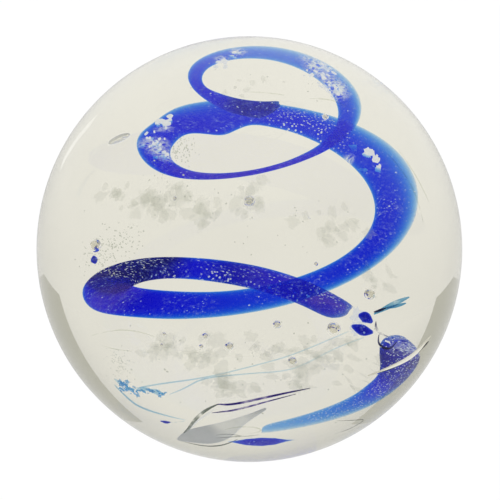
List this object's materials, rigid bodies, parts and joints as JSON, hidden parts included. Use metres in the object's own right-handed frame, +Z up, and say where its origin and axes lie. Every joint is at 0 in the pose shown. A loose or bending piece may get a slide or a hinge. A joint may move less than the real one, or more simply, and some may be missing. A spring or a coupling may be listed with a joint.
{
  "type": "glass marble",
  "caption": "Clear glass playing marble with a blue glass ribbon coiled down inside it, seed bubbles and a folded-in air pocket.",
  "frame": {"origin": "centre of the ball", "axes": "+Z up along the axis that the blue ribbon coils round, with the ribbon's cut tip at the top; -Y towards the viewer of the folded air pocket, +X to that viewer's right"},
  "size_m": [0.025, 0.025, 0.025],
  "materials": {
    "clear_glass": "fire-polished, faintly warm, with seed bubbles",
    "blue_glass": "cobalt blue glass, deep where thick and sky blue where thin",
    "pale_blue_glass": "pale blue glass threads and smears"
  },
  "bodies": {
    "root": {"clear_glass": "clear_glass", "blue_ribbon": "blue_glass", "ribbon_tail": "blue_glass", "ribbon_chips": "blue_glass", "blue_lens": "blue_glass", "pale_threads": "pale_blue_glass"}
  },
  "joints": []
}
